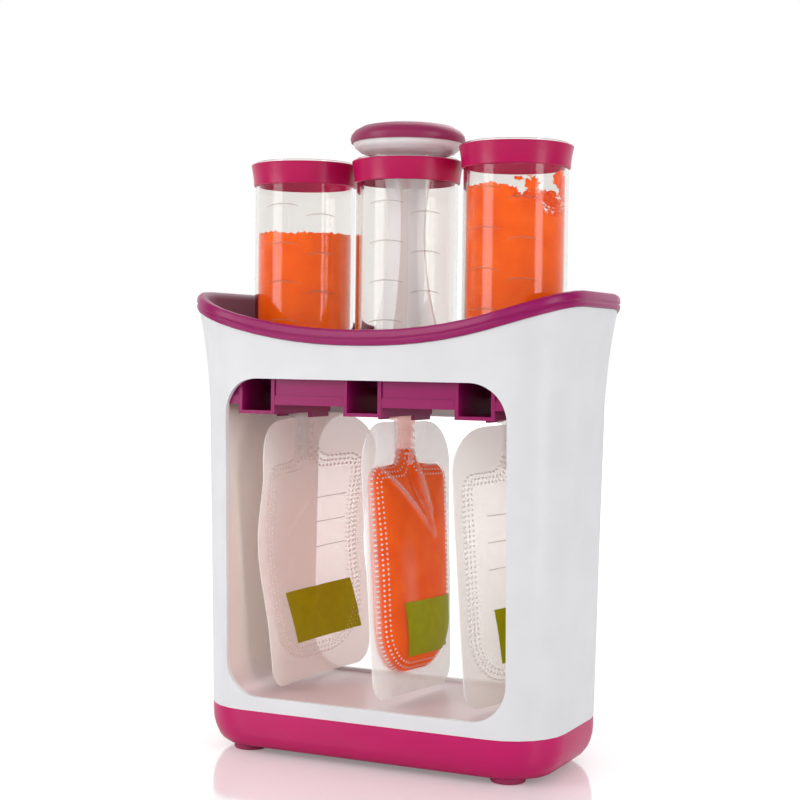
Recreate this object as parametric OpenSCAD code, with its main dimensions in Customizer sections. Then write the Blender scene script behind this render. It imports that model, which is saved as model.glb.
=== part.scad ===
// Food pouch filling station: three clear tubes stand in a filling deck on a white body,
// a hand press pushes puree down a tube, and the pouches hang under the deck in an open bay.
// Millimetres. The origin is on the table under the middle of the body, +X to the right,
// +Z up, and the front window faces -Y.

/* [Body] */
// Width of the body where the shell meets the base
body_w = 177.4; // [160:1:200]
// Depth of the body where the shell meets the base
body_d = 87.2; // [78:1:105]
// Corner radius of the footprint
corner_r = 26.4; // [20:0.5:32]
// Height of the seam between base and shell
seam_z = 21.4; // [17:0.5:24]
// Height of the shell's top edge at mid width
rim_z = 191.9; // [190:0.5:200]
// How much higher the shell's top edge is at the ends
rim_rise = 18.9; // [8:0.5:26]
// How late the top edge turns up towards the ends
rim_curve = 2.24; // [1.6:0.1:3]
// Outward lean of the end walls, mm per mm of height
lean_w = 0.017; // [0:0.001:0.03]
// Outward lean of the front and back walls, mm per mm of height
lean_d = 0.025; // [0:0.001:0.04]
// Height where the walls begin to flare
flare_z = 160; // [150:1:168]
// Outward flare of the end walls at full height
flare_w = 4.2; // [0:0.1:8]
// Outward flare of the front and back walls at full height
flare_d = 6.1; // [0:0.1:8]
// Wall thickness of the white shell
shell_wall = 2.4; // [1.8:0.1:3]

/* [Window and bay] */
// Width of the window and of the bay behind it
bay_w = 141; // [136:1:142]
// Corner radius of the window
window_r = 17; // [10:0.5:22]
// Height of the window's lower edge
window_z0 = 28.1; // [27.5:0.1:34]
// Height of the front window's upper edge
window_z1 = 176.4; // [172:0.1:180]
// Height of the rear window's upper edge
rear_window_z1 = 157.5; // [157:0.1:160]
// Height of the bay's floor
bay_floor_z = 26.6; // [26:0.1:27.4]
// Wall thickness of the bay liner
liner_wall = 2; // [1.5:0.1:2.4]

/* [Base] */
// Height of the base's underside above the table
base_z = 2.5; // [1.5:0.1:3.5]
// Wall thickness of the base tray at the seam, its locating lip included
base_wall = 4.2; // [4:0.1:4.6]
// Floor thickness of the base tray
base_floor = 2.6; // [2.2:0.1:3.4]
// How far the rounded lower edge reaches in
base_round_w = 9; // [5:0.5:10]
// How far the rounded lower edge reaches up
base_round_h = 15; // [8:0.5:17]
// Height of the locating lip inside the shell
lip_h = 2.6; // [1.5:0.1:2.8]
// Diameter of a rubber foot
foot_d = 16; // [12:0.5:17]
// Distance between the feet across the width
foot_span_x = 132; // [110:1:134]
// Distance between the feet across the depth
foot_span_y = 54; // [44:1:55]

/* [Top rim] */
// Height of the rim trim above the shell's edge
trim_h = 7.2; // [5:0.1:9]
// How far the trim stands out from the shell
trim_out = 1.3; // [1:0.1:3]
// Wall thickness of the basin inside the rim
basin_wall = 1.8; // [1.4:0.1:2.4]

/* [Filling deck] */
// Height of the basin's floor
deck_z = 187; // [186:0.1:188]
// Thickness of the basin's floor
deck_t = 3; // [2.4:0.1:3.4]
// Depth of a tube socket below the basin's floor
socket_depth = 11.5; // [9:0.1:12]
// Wall thickness of a tube socket
socket_wall = 1.8; // [1.4:0.1:2.2]
// Thickness of a socket's floor
socket_floor = 2.5; // [2:0.1:2.8]
// Height that a socket's lip stands above the basin's floor
socket_lip = 2.4; // [1:0.1:4]
// Height of the front fascia's lower edge
fascia_z = 164.4; // [163:0.1:168]
// Thickness of the front fascia
fascia_t = 1.6; // [1.2:0.1:2]

/* [Spout channels] */
// Outer width of a spout channel
channel_w = 19; // [18.6:0.1:20]
// Wall thickness of a spout channel
channel_wall = 1.8; // [1.4:0.1:1.8]
// Height of a channel's underside
channel_z = 160; // [159.8:0.1:160.4]
// Thickness of a channel's floor
channel_floor = 1.6; // [1.2:0.1:1.7]
// How far a channel reaches behind the tube's axis
channel_back = 10.5; // [9:0.1:14]
// How far the foot under a channel's wall hangs down
channel_foot = 2.4; // [0.5:0.1:2.6]

/* [Tubes] */
// Outer diameter of a tube
tube_d = 48; // [44:0.1:48.5]
// Wall thickness of a tube
tube_wall = 1.5; // [1.2:0.1:2]
// Length of a tube
tube_len = 102.7; // [85:0.1:120]
// Floor thickness of a tube
tube_floor = 2; // [1.6:0.1:2.5]
// Distance between the tubes' axes
tube_pitch = 54.8; // [54.4:0.1:55.4]
// Height that the left tube stands above its gasket
left_lift = 0; // [0:0.1:6]
// Height that the middle tube stands above its gasket
middle_lift = 0; // [0:0.1:6]
// Height that the right tube stands above its gasket, as it isn't pushed home
right_lift = 5.1; // [0:0.1:6]
// Spacing of the volume marks, one fluid ounce apart
mark_step = 18.2; // [16:0.1:20]
// Height of the lowest volume mark above the tube's foot
mark_z0 = 26; // [20:0.1:30]
// Height of the collar round a tube's mouth
collar_h = 10.3; // [8:0.1:13]
// Diameter of the collar's flared top
collar_d = 52.4; // [51:0.1:53]
// Height of the clear lip above the collar
tube_lip = 1; // [0.5:0.1:2]

/* [Puree] */
// Height of the puree in the left tube
left_fill_h = 66; // [20:1:90]
// Height of the puree in the right tube
right_fill_h = 79; // [20:1:90]

/* [Press] */
// Diameter of the press's knob
knob_d = 54.2; // [50:0.1:56]
// Height of the knob's coloured cap
cap_h = 9.4; // [7:0.1:11]
// Height of the white cup under the cap
cup_h = 7; // [5:0.1:9]
// Half width of the stem's ribs at the waist
stem_waist = 9.2; // [7:0.1:12]
// Thickness of the stem's ribs
stem_rib = 2.4; // [1.8:0.1:3]
// Height of the piston
piston_h = 6; // [4:0.1:8]

/* [Pouches] */
// Width of a pouch
pouch_w = 80; // [70:0.5:81]
// Height of a pouch's film below its top edge
pouch_h = 125; // [110:0.5:126]
// Share of its width that a pouch loses towards the foot
pouch_taper = 0.15; // [0:0.01:0.25]
// Height of a pouch's top edge
pouch_top_z = 156.5; // [154:0.1:157]
// Thickness of an empty pouch at its middle
empty_t = 3.2; // [2:0.1:5]
// Thickness of the filled pouch at its middle
filled_t = 18; // [8:0.5:24]
// Turn of the left pouch about its spout, in degrees from the body's width
left_turn = 75; // [72:1:90]
// Turn of the middle pouch
middle_turn = 84; // [72:1:96]
// Turn of the right pouch
right_turn = 72; // [72:1:90]
// Swing of the left pouch in its own plane, in degrees
left_swing = 4.5; // [0:0.5:6]
// Diameter of a spout's neck
neck_d = 10; // [8:0.1:10]
// Diameter of a spout's flanges
flange_d = 14.8; // [13:0.1:15]

/* [Hidden] */

$fn = 96;
eps = 0.01;
loose = 0.3;        // gap between pieces that move apart
snug = 0.1;         // gap of a running fit, on the radius
beside = 0.25;      // gap between fixed pieces that nest

LEFT = 0;
MIDDLE = 1;
RIGHT = 2;
function tube_x(i) = (i - 1) * tube_pitch;

magenta = "#b8265e";
plum = "#9c2468";
shell_white = "#e9e9ec";
clear = "#dfe6ea90";
frosted = "#eceff2";
orange = "#f2640f";
film = "#e6dcd8c0";
rubber_grey = "#8a8a8e";

// ---- Body form: one outline, swept upwards, drives base, shell, rim and bay ----

flare_span = 52;    // height over which the flare reaches its full size
corner_steps = 6;
side_steps = 12;
corner_signs = [[1, 1], [-1, 1], [-1, -1], [1, -1]];

// A station is [x sign, y sign, angle]: a corner centre's signs and the direction from it.
function corner_stations(k) =
    [for (i = [0:corner_steps]) [corner_signs[k][0], corner_signs[k][1], 90 * (k + i / corner_steps)]];
function side_stations(k) =
    let (from = corner_signs[k][0], y = corner_signs[k][1])
    [for (i = [1:side_steps - 1]) [from * (1 - 2 * i / side_steps), y, 90 * (k + 1)]];
stations = concat(corner_stations(0), side_stations(0), corner_stations(1),
                  corner_stations(2), side_stations(2), corner_stations(3));

function station_xy(s, half_w, half_d, r) =
    [s[0] * (half_w - r) + r * cos(s[2]), s[1] * (half_d - r) + r * sin(s[2])];

function flare_at(z) = pow(max(0, z - flare_z) / flare_span, 2);
function spread_w(z) = lean_w * (z - seam_z) + flare_w * flare_at(z);
function spread_d(z) = lean_d * (z - seam_z) + flare_d * flare_at(z);
function half_w_at(z) = body_w / 2 + spread_w(z);
function half_d_at(z) = body_d / 2 + spread_d(z);
function corner_at(z) = corner_r + spread_w(z);

// The point of a station on the wall at height z, moved in by inset.
function wall_point(s, z, inset) =
    concat(station_xy(s, half_w_at(z) - inset, half_d_at(z) - inset, corner_at(z) - inset), [z]);

rim_half_w = half_w_at(rim_z + rim_rise);
function rim_height(s) =
    let (x = wall_point(s, rim_z + rim_rise / 2, 0)[0])
    rim_z + rim_rise * pow(min(abs(x) / rim_half_w, 1), rim_curve);

function level_ring(z, inset) = [for (s = stations) wall_point(s, z, inset)];
// A ring straight above the shell's top edge.
function rim_ring(rise, inset) =
    [for (s = stations) let (p = wall_point(s, rim_height(s), inset)) [p[0], p[1], p[2] + rise]];
// A ring that is a share of the way from the level z to the rim's height.
function mixed_ring(z, share, inset) =
    [for (s = stations) wall_point(s, z + (rim_height(s) - z) * share, inset)];

function middle_of(ring) = [for (axis = [0:2]) sum_of([for (p = ring) p[axis]]) / len(ring)];
function sum_of(values) = values * [for (v = values) 1];

// Skins a list of rings with the same number of points. A closed loft joins its last ring to its
// first, like a bent hose, and an open one is capped at both ends by a fan about the ring's middle.
module loft(rings, closed = false) {
    n = len(rings[0]);
    m = len(rings);
    last = closed ? m - 1 : m - 2;
    sides = [for (k = [0:last], i = [0:n - 1])
        let (a = k * n + i, b = k * n + (i + 1) % n,
             c = ((k + 1) % m) * n + (i + 1) % n, d = ((k + 1) % m) * n + i)
        each [[a, d, c], [a, c, b]]];
    first_cap = [for (i = [0:n - 1]) [i, (i + 1) % n, m * n]];
    last_cap = [for (i = [0:n - 1]) [(m - 1) * n + (i + 1) % n, (m - 1) * n + i, m * n + 1]];
    middles = closed ? [] : [middle_of(rings[0]), middle_of(rings[m - 1])];
    polyhedron(points = concat([for (ring = rings) each ring], middles),
               faces = closed ? sides : concat(sides, first_cap, last_cap), convexity = 6);
}

module rounded_rect(w, d, r) {
    square([w - 2 * r, d], center = true);
    square([w, d - 2 * r], center = true);
    for (s = corner_signs)
        translate([s[0] * (w / 2 - r), s[1] * (d / 2 - r)])
            circle(r);
}

// Draws its 2D children, given as [x, z], as a plate from y0 to y1.
module upright(y0, y1) {
    translate([0, y1, 0])
        rotate([90, 0, 0])
            linear_extrude(height = y1 - y0)
                children();
}

// A box between two corners.
module block(from, to) {
    translate(from)
        cube(to - from);
}

// ---- Base ----

screw_span_x = 92;
screw_span_y = 50;
screw_r = 1.5;
screw_head_r = 2.9;
screw_head_h = 2.2;
screw_len = 12;
screw_seat_z = base_z + 3.2;
boss_r = 5;
boss_top_z = base_z + 5.8;
foot_sink = 1.4;
base_steps = 6;

// A ring on the base's rounded edge: angle 0 is the underside and 90 the upright wall.
function base_ring(angle, z0, height, inset) =
    let (reach = base_round_w * (1 - sin(angle)) + inset,
         z = z0 + height * (1 - cos(angle)))
    [for (s = stations)
        concat(station_xy(s, body_w / 2 - reach, body_d / 2 - reach, corner_r - reach), [z])];

// A ring on the top of the locating lip, which stands up inside the shell.
function lip_ring(inset) = [for (p = level_ring(seam_z, inset)) [p[0], p[1], seam_z + lip_h]];

base_skin = concat(
    [for (k = [0:base_steps]) base_ring(90 * k / base_steps, base_z, base_round_h, 0)],
    [level_ring(seam_z, 0), level_ring(seam_z, shell_wall + beside)],
    [lip_ring(shell_wall + beside), lip_ring(base_wall)],
    [for (k = [base_steps:-1:0])
        base_ring(90 * k / base_steps, base_z + base_floor, base_round_h - base_floor, base_wall)]
);

module at_corners(span_x, span_y) {
    for (s = corner_signs)
        translate([s[0] * span_x / 2, s[1] * span_y / 2, 0])
            children();
}

module base_tray() {
    color(magenta)
    difference() {
        union() {
            loft(base_skin);
            at_corners(screw_span_x, screw_span_y)
                translate([0, 0, base_z + base_floor - 0.5])
                    cylinder(r = boss_r, h = boss_top_z - base_z - base_floor + 0.5);
        }
        at_corners(screw_span_x, screw_span_y) {
            translate([0, 0, -eps])
                cylinder(r = screw_head_r + 0.4, h = screw_seat_z + eps);
            cylinder(r = screw_r + 0.2, h = boss_top_z + 1);
        }
        at_corners(foot_span_x, foot_span_y)
            translate([0, 0, base_z - 1])
                cylinder(d = foot_d + 2 * beside, h = 1 + foot_sink);
    }
}

module rubber_feet() {
    foot_h = base_z + foot_sink;
    color(magenta)
    at_corners(foot_span_x, foot_span_y)
        rotate_extrude()
            polygon(concat([[0, 0]],
                [for (a = [-90:22.5:0]) [foot_d / 2 - 1 + cos(a), 1 + sin(a)]],
                [[foot_d / 2, foot_h], [0, foot_h]]));
}

module base_screws() {
    color("silver")
    at_corners(screw_span_x, screw_span_y)
        difference() {
            union() {
                translate([0, 0, screw_seat_z - screw_head_h])
                    cylinder(r = screw_head_r, h = screw_head_h);
                translate([0, 0, screw_seat_z - eps])
                    cylinder(r = screw_r, h = screw_len + eps);
            }
            for (turn = [0, 90])
                rotate([0, 0, turn])
                    translate([0, 0, screw_seat_z - screw_head_h])
                        cube([3.4, 0.7, 2], center = true);
        }
}

// ---- White shell and bay liner ----

straight_z = flare_z + 8;   // below this height the shell's wall is drawn straight
flare_steps = 7;
wall_skin = concat(
    [level_ring(seam_z, 0)],
    [for (k = [0:flare_steps]) mixed_ring(straight_z, k / flare_steps, 0)],
    [for (k = [flare_steps:-1:0]) mixed_ring(straight_z, k / flare_steps, shell_wall)],
    [level_ring(seam_z, shell_wall)]
);

// The window's outline, as [x, z].
module window_outline(z1) {
    translate([0, (window_z0 + z1) / 2])
        rounded_rect(bay_w, z1 - window_z0, window_r);
}

module body_shell() {
    color(shell_white)
    difference() {
        loft(wall_skin, closed = true);
        upright(-half_d_at(rim_z), 0)
            window_outline(window_z1);
        upright(0, half_d_at(rim_z))
            window_outline(rear_window_z1);
    }
}

deck_under_z = deck_z - deck_t;
socket_r = tube_d / 2 + loose;
socket_out_r = socket_r + socket_wall;
socket_base_z = deck_z - socket_depth;
socket_under_z = socket_base_z - socket_floor;

// The room that a tube socket takes, grown by gap.
module socket_room(gap) {
    for (i = [LEFT:RIGHT])
        translate([tube_x(i), 0, socket_under_z - gap])
            cylinder(r = socket_out_r + gap, h = deck_z + socket_lip - socket_under_z + gap + 1);
}

// A trough outline, as [x, z]: straight sides, rounded lower corners and an open top.
module trough_outline(half, z0, z1, r) {
    translate([-half, z0 + r])
        square([2 * half, z1 - z0 - r]);
    translate([-half + r, z0])
        square([2 * (half - r), r + 1]);
    for (side = [-1, 1])
        translate([side * (half - r), z0 + r])
            circle(r);
}

module bay_liner() {
    inside = shell_wall + snug;
    top_z = deck_under_z - snug;
    post_r = 4;
    color(shell_white)
    difference() {
        union() {
            intersection() {
                upright(-body_d, body_d)
                    difference() {
                        trough_outline(bay_w / 2 + liner_wall, bay_floor_z - liner_wall,
                                       top_z, window_r + liner_wall);
                        trough_outline(bay_w / 2, bay_floor_z, deck_z, window_r);
                    }
                loft(concat([level_ring(seam_z, inside)],
                            [for (k = [0:flare_steps])
                                level_ring(straight_z + (deck_z - straight_z) * k / flare_steps, inside)]));
            }
            at_corners(screw_span_x, screw_span_y)
                translate([0, 0, boss_top_z])
                    cylinder(r = post_r, h = bay_floor_z - liner_wall / 2 - boss_top_z);
        }
        at_corners(screw_span_x, screw_span_y)
            translate([0, 0, boss_top_z - 1])
                cylinder(r = screw_r + 0.05, h = screw_seat_z + screw_len + 0.5 - boss_top_z + 1);
        socket_room(beside);
    }
}

// ---- Top rim: trim over the shell's edge, with the basin's wall hanging inside ----

basin_out = shell_wall + loose;
basin_in = basin_out + basin_wall;
trim_gap = 0.1;
// The trim's section as [inset, height], from its outer foot over the top to the basin's wall.
trim_section = [
    [-trim_out * 0.8, trim_gap + 0.3], [-trim_out, trim_h * 0.26],
    [-trim_out + 0.5, trim_h * 0.4], [-trim_out, trim_h * 0.52],
    [-trim_out * 0.8, trim_h * 0.8], [-trim_out * 0.2, trim_h * 0.96],
    [0.8, trim_h], [2.4, trim_h * 0.95], [basin_in - 0.8, trim_h * 0.78], [basin_in, trim_h * 0.5]
];
rim_skin = concat(
    [level_ring(deck_z, basin_out), mixed_ring(deck_z, 0.5, basin_out)],
    [rim_ring(trim_gap, basin_out), rim_ring(trim_gap, -trim_out * 0.5)],
    [for (p = trim_section) rim_ring(p[1], p[0])],
    [mixed_ring(deck_z, 0.5, basin_in), level_ring(deck_z, basin_in)]
);

module top_rim() {
    color(plum)
    loft(rim_skin, closed = true);
}

// ---- Filling deck: basin floor, tube sockets, spout channels and front fascia ----

nozzle_r = 5;
spout_seal_h = 1.4;
spout_seal_r = 7;
outlet_z = 168.9;
deck_front = half_d_at(channel_z) - shell_wall - loose;
channel_in = channel_w / 2 - channel_wall;
neck_slot_r = neck_d / 2 + loose;
lintel_front = 13;
fascia_y = -deck_front + 0.7;
mouth_top_z = window_z1 + 0.6;      // the channels' mouths end above the front window's edge

module filling_deck() {
    color(plum)
    difference() {
        translate([0, 0, deck_under_z])
            linear_extrude(height = deck_t)
                rounded_rect(2 * (half_w_at(deck_under_z) - basin_out), 2 * (half_d_at(deck_under_z) - basin_out),
                             corner_at(deck_under_z) - basin_out);
        socket_room(snug);
    }
}

// The cup that holds a tube's foot, with a hole for its nozzle.
module tube_socket(i) {
    color(plum)
    translate([tube_x(i), 0, 0])
        difference() {
            translate([0, 0, socket_under_z])
                cylinder(r = socket_out_r, h = deck_z + socket_lip - socket_under_z);
            translate([0, 0, socket_base_z])
                cylinder(r = socket_r, h = socket_depth + socket_lip + 1);
            translate([0, 0, socket_under_z - 1])
                cylinder(r = nozzle_r + snug, h = socket_floor + 2);
        }
}

// A channel's walls as a plate between two corners on its right side, and its mirror image.
module channel_sides(from, to) {
    for (side = [-1, 1])
        scale([side, 1, 1])
            block(from, to);
}

// The channel under a socket that a pouch's spout hangs in.
module spout_channel(i) {
    half = channel_w / 2;
    foot_from = -9;
    color(plum)
    difference() {
        translate([tube_x(i), 0, 0])
            difference() {
                union() {
                    channel_sides([channel_in, -deck_front, channel_z],
                                  [half, channel_back, deck_under_z - snug]);
                    channel_sides([channel_in, foot_from, channel_z - channel_foot],
                                  [half, channel_back - 2, channel_z + 1]);
                    block([-half, -deck_front, channel_z], [half, channel_back, channel_z + channel_floor]);
                    block([-half, -lintel_front, outlet_z], [half, channel_back, deck_z]);
                }
                block([-neck_slot_r, 0, channel_z - 1], [neck_slot_r, channel_back + 1, outlet_z]);
                translate([0, 0, channel_z - 1])
                    cylinder(r = neck_slot_r, h = channel_floor + 2);
                translate([0, 0, outlet_z - 1])
                    cylinder(r = nozzle_r + snug, h = socket_base_z - outlet_z + 2);
                translate([0, 0, outlet_z - 1])
                    cylinder(r = spout_seal_r, h = spout_seal_h + 1);
                block([-half - 1, -deck_front - 1, mouth_top_z - snug],
                      [half + 1, fascia_y + fascia_t + snug, deck_under_z]);
            }
        socket_room(snug);
    }
}

module deck_fascia() {
    reach = bay_w / 2 - 0.7;
    bead_h = 4.2;
    color(plum)
    difference() {
        union() {
            block([-reach, fascia_y, fascia_z], [reach, fascia_y + fascia_t, deck_under_z - snug]);
            block([-reach, fascia_y - 0.6, fascia_z], [reach, fascia_y + 0.3, fascia_z + bead_h]);
        }
        for (i = [LEFT:RIGHT])
            translate([tube_x(i), 0, 0])
                block([-channel_w / 2 - snug, -deck_front - 1, fascia_z - 1],
                      [channel_w / 2 + snug, 0, mouth_top_z]);
    }
}

gasket_h = 1.5;
tube_foot_z = socket_base_z + gasket_h;

module tube_gaskets() {
    color(rubber_grey)
    for (i = [LEFT:RIGHT])
        translate([tube_x(i), 0, socket_base_z])
            difference() {
                cylinder(r = socket_r, h = gasket_h);
                translate([0, 0, -1])
                    cylinder(r = socket_r - 5, h = gasket_h + 2);
            }
}

module spout_seals() {
    color(rubber_grey)
    for (i = [LEFT:RIGHT])
        translate([tube_x(i), 0, outlet_z])
            difference() {
                cylinder(r = spout_seal_r, h = spout_seal_h);
                translate([0, 0, -1])
                    cylinder(r = 4, h = spout_seal_h + 2);
            }
}

// ---- Tubes, collars and puree ----

tube_r = tube_d / 2;
bore_r = tube_r - tube_wall;
nozzle_bore_r = 3.5;
nozzle_end_z = outlet_z + spout_seal_h + loose;
collar_z = tube_foot_z + tube_len - tube_lip - collar_h;
lifts = [left_lift, middle_lift, right_lift];
mark_turns = [0, 0, -17];

// One raised volume mark: a short arc round the tube.
module volume_mark(from, sweep) {
    rotate([0, 0, from])
        rotate_extrude(angle = sweep)
            translate([tube_r - 0.1, -0.3])
                square([0.4, 0.6]);
}

module filling_tube(i) {
    mark_count = floor((tube_len - collar_h - tube_lip - 4 - mark_z0) / mark_step);
    color(clear)
    translate([tube_x(i), 0, tube_foot_z + lifts[i]]) {
        difference() {
            union() {
                cylinder(r = tube_r, h = tube_len);
                translate([0, 0, nozzle_end_z - tube_foot_z])
                    cylinder(r = nozzle_r, h = tube_foot_z - nozzle_end_z + 1);
            }
            translate([0, 0, tube_floor])
                cylinder(r = bore_r, h = tube_len);
            translate([0, 0, nozzle_end_z - tube_foot_z - 1])
                cylinder(r = nozzle_bore_r, h = tube_foot_z - nozzle_end_z + tube_floor + 2);
        }
        for (k = [0:mark_count])
            translate([0, 0, mark_z0 + k * mark_step]) {
                volume_mark(mark_turns[i] - 108, 40);
                translate([0, 0, -4.7])
                    volume_mark(mark_turns[i] - 60, 34);
            }
    }
}

module collar(i) {
    foot_r = tube_r + 0.9;
    steps = 6;
    color(magenta)
    translate([tube_x(i), 0, collar_z + lifts[i]])
        rotate_extrude()
            polygon(concat(
                [[tube_r + 0.02, 0], [foot_r - 0.3, 0]],
                [for (k = [0:steps]) let (t = k / steps)
                    [foot_r + (collar_d / 2 - foot_r) * pow(t, 1.7), 0.3 + (collar_h - 0.8) * t]],
                [[collar_d / 2 - 0.3, collar_h], [tube_r + 0.02, collar_h]]));
}

// Puree that fills a tube, with an uneven top.
module puree(i, height, wave) {
    sectors = 32;
    shares = [1, 0.86, 0.66, 0.42, 0.16];
    foot_z = tube_foot_z + lifts[i] + tube_floor + 0.05;
    fill_r = bore_r - 0.1;
    function top(share, a) = height - 1.4 * share
        + wave * share * (sin(3 * a + 40) + 0.6 * sin(5 * a) + 0.4 * cos(8 * a * share));
    function ring(share, z) = [for (k = [0:sectors - 1]) let (a = 360 * k / sectors)
        [fill_r * share * cos(a), fill_r * share * sin(a), z]];
    function top_ring(share) = [for (k = [0:sectors - 1]) let (a = 360 * k / sectors)
        [fill_r * share * cos(a), fill_r * share * sin(a), top(share, a)]];
    color(orange)
    translate([tube_x(i), 0, foot_z])
        loft(concat([ring(1, 0)], [for (s = shares) top_ring(s)], [ring(0.05, height)]));
}

// ---- Press ----

press_lift = middle_lift;
piston_z = tube_foot_z + tube_floor + press_lift + loose;
cup_z = tube_foot_z + tube_len + press_lift + 0.4;
cap_z = cup_z + cup_h;
cap_top_z = cap_z + cap_h;
disc_h = 2;
knob_r = knob_d / 2;
waist_z = piston_z + 66;

module press_cap() {
    skin = 2.2;
    inner_r = knob_r - 2.6;
    color(plum)
    rotate_extrude()
        polygon([
            [inner_r, cap_z], [knob_r - 0.5, cap_z], [knob_r, cap_z + cap_h * 0.17],
            [knob_r - 0.5, cap_z + cap_h * 0.38], [knob_r * 0.92, cap_z + cap_h * 0.6],
            [knob_r * 0.79, cap_z + cap_h * 0.81], [knob_r * 0.55, cap_z + cap_h * 0.94],
            [knob_r * 0.26, cap_z + cap_h * 0.99], [0, cap_top_z],
            [0, cap_top_z - skin], [knob_r * 0.55, cap_z + cap_h * 0.94 - skin],
            [inner_r - 2, cap_z + cap_h * 0.7 - skin / 2], [inner_r, cap_z + cap_h * 0.3]
        ]);
}

module press_cup() {
    lip_r = knob_r - 2.6 - snug;
    color(frosted)
    rotate_extrude()
        polygon([
            [0, cup_z], [knob_r * 0.5, cup_z], [knob_r * 0.66, cup_z + cup_h * 0.12],
            [knob_r * 0.82, cup_z + cup_h * 0.38], [knob_r * 0.92, cup_z + cup_h * 0.7],
            [knob_r - 1.3, cap_z - 0.05], [lip_r, cap_z - 0.05], [lip_r, cap_z + cap_h * 0.25],
            [lip_r - 1.6, cap_z + cap_h * 0.25], [knob_r * 0.76, cup_z + cup_h * 0.62],
            [knob_r * 0.6, cup_z + cup_h * 0.4], [0, cup_z + cup_h * 0.3]
        ]);
}

function stem_half(z) = stem_waist + 0.0034 * pow(z - waist_z, 2);

module press_stem() {
    foot_z = piston_z + piston_h;
    neck_z = cup_z - disc_h;
    steps = 16;
    heights = [for (k = [0:steps]) foot_z + (neck_z - foot_z) * k / steps];
    color(frosted)
    union() {
        for (turn = [0, 90])
            rotate([0, 0, turn])
                upright(-stem_rib / 2, stem_rib / 2)
                    polygon(concat(
                        [for (z = heights) [stem_half(z), z]],
                        [for (k = [steps:-1:0]) [-stem_half(heights[k]), heights[k]]]));
        translate([0, 0, neck_z - eps])
            cylinder(r = 17, h = disc_h + eps);
    }
}

seal_h = 2.6;
seal_depth = 2;
piston_r = bore_r - loose;

module press_piston() {
    color(frosted)
    difference() {
        translate([0, 0, piston_z])
            cylinder(r = piston_r, h = piston_h);
        translate([0, 0, piston_z + (piston_h - seal_h) / 2])
            difference() {
                cylinder(r = piston_r + 1, h = seal_h);
                translate([0, 0, -1])
                    cylinder(r = piston_r - seal_depth, h = seal_h + 2);
            }
    }
}

module piston_seal() {
    seal_z = piston_z + (piston_h - seal_h) / 2;
    color(rubber_grey)
    rotate_extrude()
        polygon([
            [piston_r - seal_depth, seal_z], [piston_r, seal_z], [bore_r - 0.06, seal_z + 0.6],
            [bore_r - 0.06, seal_z + seal_h - 0.6], [piston_r, seal_z + seal_h],
            [piston_r - seal_depth, seal_z + seal_h]
        ]);
}

// ---- Pouches and spouts ----

pouch_turns = [left_turn, middle_turn, right_turn];
pouch_swings = [left_swing, -1, 2.5];
pouch_thick = [empty_t, filled_t, empty_t];
shoulder_r = 26;
pouch_corner_r = 8;
seal_band = 7;      // width of the flat welded edge round a pouch's chamber
film_t = 0.8;
flange_h = 1.6;
flange_z = channel_z + channel_floor + loose;
spout_top_z = outlet_z - loose;

// The pouch's outline as [across, up], counted from its top edge's middle, drawn in by inset.
function pouch_outline(inset) =
    [for (p = straight_outline(inset)) [p[0] * (1 + pouch_taper * p[1] / pouch_h), p[1]]];
function straight_outline(inset) =
    let (half = pouch_w / 2 - inset, top = -inset, low = -pouch_h + inset,
         sr = shoulder_r - inset * 0.6, br = max(pouch_corner_r - inset * 0.2, 3))
    concat(
        [for (k = [0:5]) let (a = 18 * k) [half - sr + sr * cos(a), top - sr + sr * sin(a)]],
        [for (k = [1:3]) [(half - sr) * (1 - k / 2), top]],
        [for (k = [1:5]) let (a = 90 + 18 * k) [-half + sr + sr * cos(a), top - sr + sr * sin(a)]],
        [for (k = [1:4]) [-half, top - sr + (low + br - top + sr) * k / 5]],
        [for (k = [0:3]) let (a = 180 + 30 * k) [-half + br + br * cos(a), low + br + br * sin(a)]],
        [for (k = [1:4]) [(half - br) * (-1 + 2 * k / 5), low]],
        [for (k = [0:3]) let (a = 270 + 30 * k) [half - br + br * cos(a), low + br + br * sin(a)]],
        [for (k = [1:4]) [half, low + br + (top - sr - low - br) * k / 5]]
    );

// How the pouch swells: [inset as a share of the half width, share of its thickness].
swell = [[0.3, 0.45], [0.42, 0.72], [0.56, 0.9], [0.72, 1]];

function pouch_ring(inset, y) = [for (p = pouch_outline(inset)) [p[0], y, p[1]]];
function pouch_skin(thick) =
    let (half = pouch_w / 2, t = (thick - film_t) / 2, e = film_t / 2)
    concat(
        [for (k = [3:-1:0]) pouch_ring(swell[k][0] * half, e + t * swell[k][1])],
        [pouch_ring(seal_band, e), pouch_ring(0, e), pouch_ring(0, -e), pouch_ring(seal_band, -e)],
        [for (k = [0:3]) pouch_ring(swell[k][0] * half, -e - t * swell[k][1])]
    );

insert_z = pouch_top_z - 20;

// The pouch's film, which is welded round the spout's tail.
module pouch(i) {
    sleeve_r = neck_d / 2 + snug + film_t;
    color(film)
    difference() {
        union() {
            translate([tube_x(i), 0, pouch_top_z])
                rotate([0, 0, pouch_turns[i]])
                    rotate([0, -pouch_swings[i], 0])
                        loft(pouch_skin(pouch_thick[i]));
            translate([tube_x(i), 0, insert_z - 2])
                cylinder(r1 = sleeve_r - 2, r2 = sleeve_r, h = 2 + eps);
            translate([tube_x(i), 0, insert_z])
                cylinder(r = sleeve_r, h = pouch_top_z - 1 - insert_z);
        }
        translate([tube_x(i), 0, insert_z - snug])
            cylinder(d = neck_d + 2 * snug, h = spout_top_z - insert_z);
    }
}

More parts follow.
